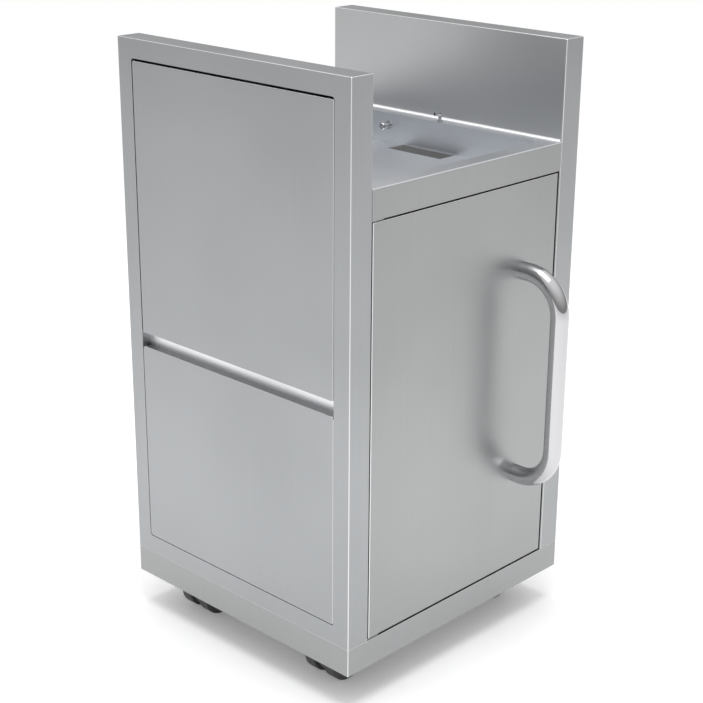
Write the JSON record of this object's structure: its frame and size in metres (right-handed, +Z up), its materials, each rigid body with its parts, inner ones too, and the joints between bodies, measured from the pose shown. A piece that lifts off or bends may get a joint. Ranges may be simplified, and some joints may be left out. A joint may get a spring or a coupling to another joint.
{
  "type": "portable handwash sink",
  "caption": "Free-standing handwash cabinet on casters with a shallow drained bowl between two tall splash guards, a hinged door with a bent tube pull, and side flaps",
  "frame": {"origin": "on the floor under the middle of the cabinet", "axes": "+X to the right as seen from the door side, +Y to the back, +Z up"},
  "size_m": [0.56, 0.6377, 1.058],
  "materials": {
    "body_steel": "satin brushed stainless sheet",
    "dark_channel": "dark finger channel behind the side panels",
    "frame_steel": "plain folded steel",
    "zinc_fasteners": "zinc-plated",
    "chrome_trim": "polished chrome",
    "valve_brass": "plain brass",
    "grate_plastic": "dark gray moulded grate",
    "rubber_parts": "black rubber",
    "hose_plastic": "milky flexible tube",
    "lead_cover": "black cable sheath",
    "tank_plastic": "natural moulded polyethylene",
    "cap_plastic": "blue moulded cap",
    "pump_housing": "black housing",
    "battery_case": "dark gray case",
    "catch_plastic": "white moulded magnetic catch",
    "fork_plastic": "black moulded fork",
    "wheel_tread": "black wheel"
  },
  "bodies": {
    "frame": {"back_panel": "body_steel", "back_screws": "zinc_fasteners", "base_pan": "frame_steel", "battery": "battery_case", "bowl": "body_steel", "caster_plates": "frame_steel", "caster_rails": "frame_steel", "caster_screws": "zinc_fasteners", "cleats": "frame_steel", "countertop": "body_steel", "drain_hose": "rubber_parts", "drain_sump": "frame_steel", "flap_pins": "frame_steel", "fresh_tank": "tank_plastic", "front_apron": "body_steel", "hinge_brackets": "frame_steel", "hose_clamp": "zinc_fasteners", "left_lower_panel": "body_steel", "left_wall": "body_steel", "magnet_catch": "catch_plastic", "plinth": "body_steel", "power_lead": "lead_cover", "pull_channels": "dark_channel", "pump": "pump_housing", "right_lower_panel": "body_steel", "right_wall": "body_steel", "strike_jamb": "body_steel", "suction_hose": "hose_plastic", "supply_hose": "hose_plastic", "tap_base": "chrome_trim", "tap_hose": "hose_plastic", "tap_nut": "zinc_fasteners", "valve_body": "valve_brass", "valve_escutcheon": "chrome_trim", "waste_tank": "tank_plastic"},
    "door": {"door_skin": "body_steel", "door_liner": "body_steel", "door_pivot_blocks": "frame_steel", "door_handle": "chrome_trim", "handle_screws": "zinc_fasteners", "strike_plate": "frame_steel"},
    "left_flap_body": {"left_flap": "body_steel"},
    "right_flap_body": {"right_flap": "body_steel"},
    "spout": {"tap_spout": "chrome_trim"},
    "knob": {"valve_knob": "chrome_trim"},
    "grate": {"drain_grate": "grate_plastic"},
    "cap": {"fresh_cap": "cap_plastic"},
    "front_left_swivel_body": {"front_left_fork": "fork_plastic", "front_left_axle": "zinc_fasteners"},
    "front_left_wheel_body": {"front_left_wheels": "wheel_tread"},
    "front_right_swivel_body": {"front_right_fork": "fork_plastic", "front_right_axle": "zinc_fasteners"},
    "front_right_wheel_body": {"front_right_wheels": "wheel_tread"},
    "rear_left_swivel_body": {"rear_left_fork": "fork_plastic", "rear_left_axle": "zinc_fasteners"},
    "rear_left_wheel_body": {"rear_left_wheels": "wheel_tread"},
    "rear_right_swivel_body": {"rear_right_fork": "fork_plastic", "rear_right_axle": "zinc_fasteners"},
    "rear_right_wheel_body": {"rear_right_wheels": "wheel_tread"}
  },
  "joints": [
    {"name": "door_hinge", "type": "hinge", "parent": "frame", "child": "door", "pos_m": [-0.221, -0.264, 0.4765], "axis": [0, 0, -1], "range_deg": [0, 110]},
    {"name": "left_flap_hinge", "type": "hinge", "parent": "frame", "child": "left_flap_body", "pos_m": [-0.272, 0, 1.013], "axis": [0, 1, 0], "range_deg": [0, 90]},
    {"name": "right_flap_hinge", "type": "hinge", "parent": "frame", "child": "right_flap_body", "pos_m": [0.272, 0, 1.013], "axis": [0, -1, 0], "range_deg": [0, 90]},
    {"name": "tap_swivel", "type": "hinge", "parent": "frame", "child": "spout", "pos_m": [0.213, -0.015, 0.892], "axis": [0, 0, 1], "range_deg": [-60, 60]},
    {"name": "valve_turn", "type": "hinge", "parent": "frame", "child": "knob", "pos_m": [0.195, 0.1003, 0.8635], "axis": [-1, 0, 0], "range_deg": [0, 90]},
    {"name": "grate_lift", "type": "slide", "parent": "frame", "child": "grate", "axis": [0, 0, 1], "range_m": [0, 0.05]},
    {"name": "fresh_cap_turn", "type": "hinge", "parent": "frame", "child": "cap", "pos_m": [-0.12, -0.15, 0.45], "axis": [0, 0, 1], "continuous": true},
    {"name": "front_left_swivel", "type": "hinge", "parent": "frame", "child": "front_left_swivel_body", "pos_m": [-0.173, -0.1635, 0.089], "axis": [0, 0, 1], "continuous": true},
    {"name": "front_left_roll", "type": "hinge", "parent": "front_left_swivel_body", "child": "front_left_wheel_body", "pos_m": [-0.202, -0.1635, 0.04], "axis": [0, 1, 0], "continuous": true},
    {"name": "front_right_swivel", "type": "hinge", "parent": "frame", "child": "front_right_swivel_body", "pos_m": [0.173, -0.1635, 0.089], "axis": [0, 0, 1], "continuous": true},
    {"name": "front_right_roll", "type": "hinge", "parent": "front_right_swivel_body", "child": "front_right_wheel_body", "pos_m": [0.202, -0.1635, 0.04], "axis": [0, 1, 0], "continuous": true},
    {"name": "rear_left_swivel", "type": "hinge", "parent": "frame", "child": "rear_left_swivel_body", "pos_m": [-0.173, 0.1635, 0.089], "axis": [0, 0, 1], "continuous": true},
    {"name": "rear_left_roll", "type": "hinge", "parent": "rear_left_swivel_body", "child": "rear_left_wheel_body", "pos_m": [-0.202, 0.1635, 0.04], "axis": [0, 1, 0], "continuous": true},
    {"name": "rear_right_swivel", "type": "hinge", "parent": "frame", "child": "rear_right_swivel_body", "pos_m": [0.173, 0.1635, 0.089], "axis": [0, 0, 1], "continuous": true},
    {"name": "rear_right_roll", "type": "hinge", "parent": "rear_right_swivel_body", "child": "rear_right_wheel_body", "pos_m": [0.202, 0.1635, 0.04], "axis": [0, 1, 0], "continuous": true}
  ]
}
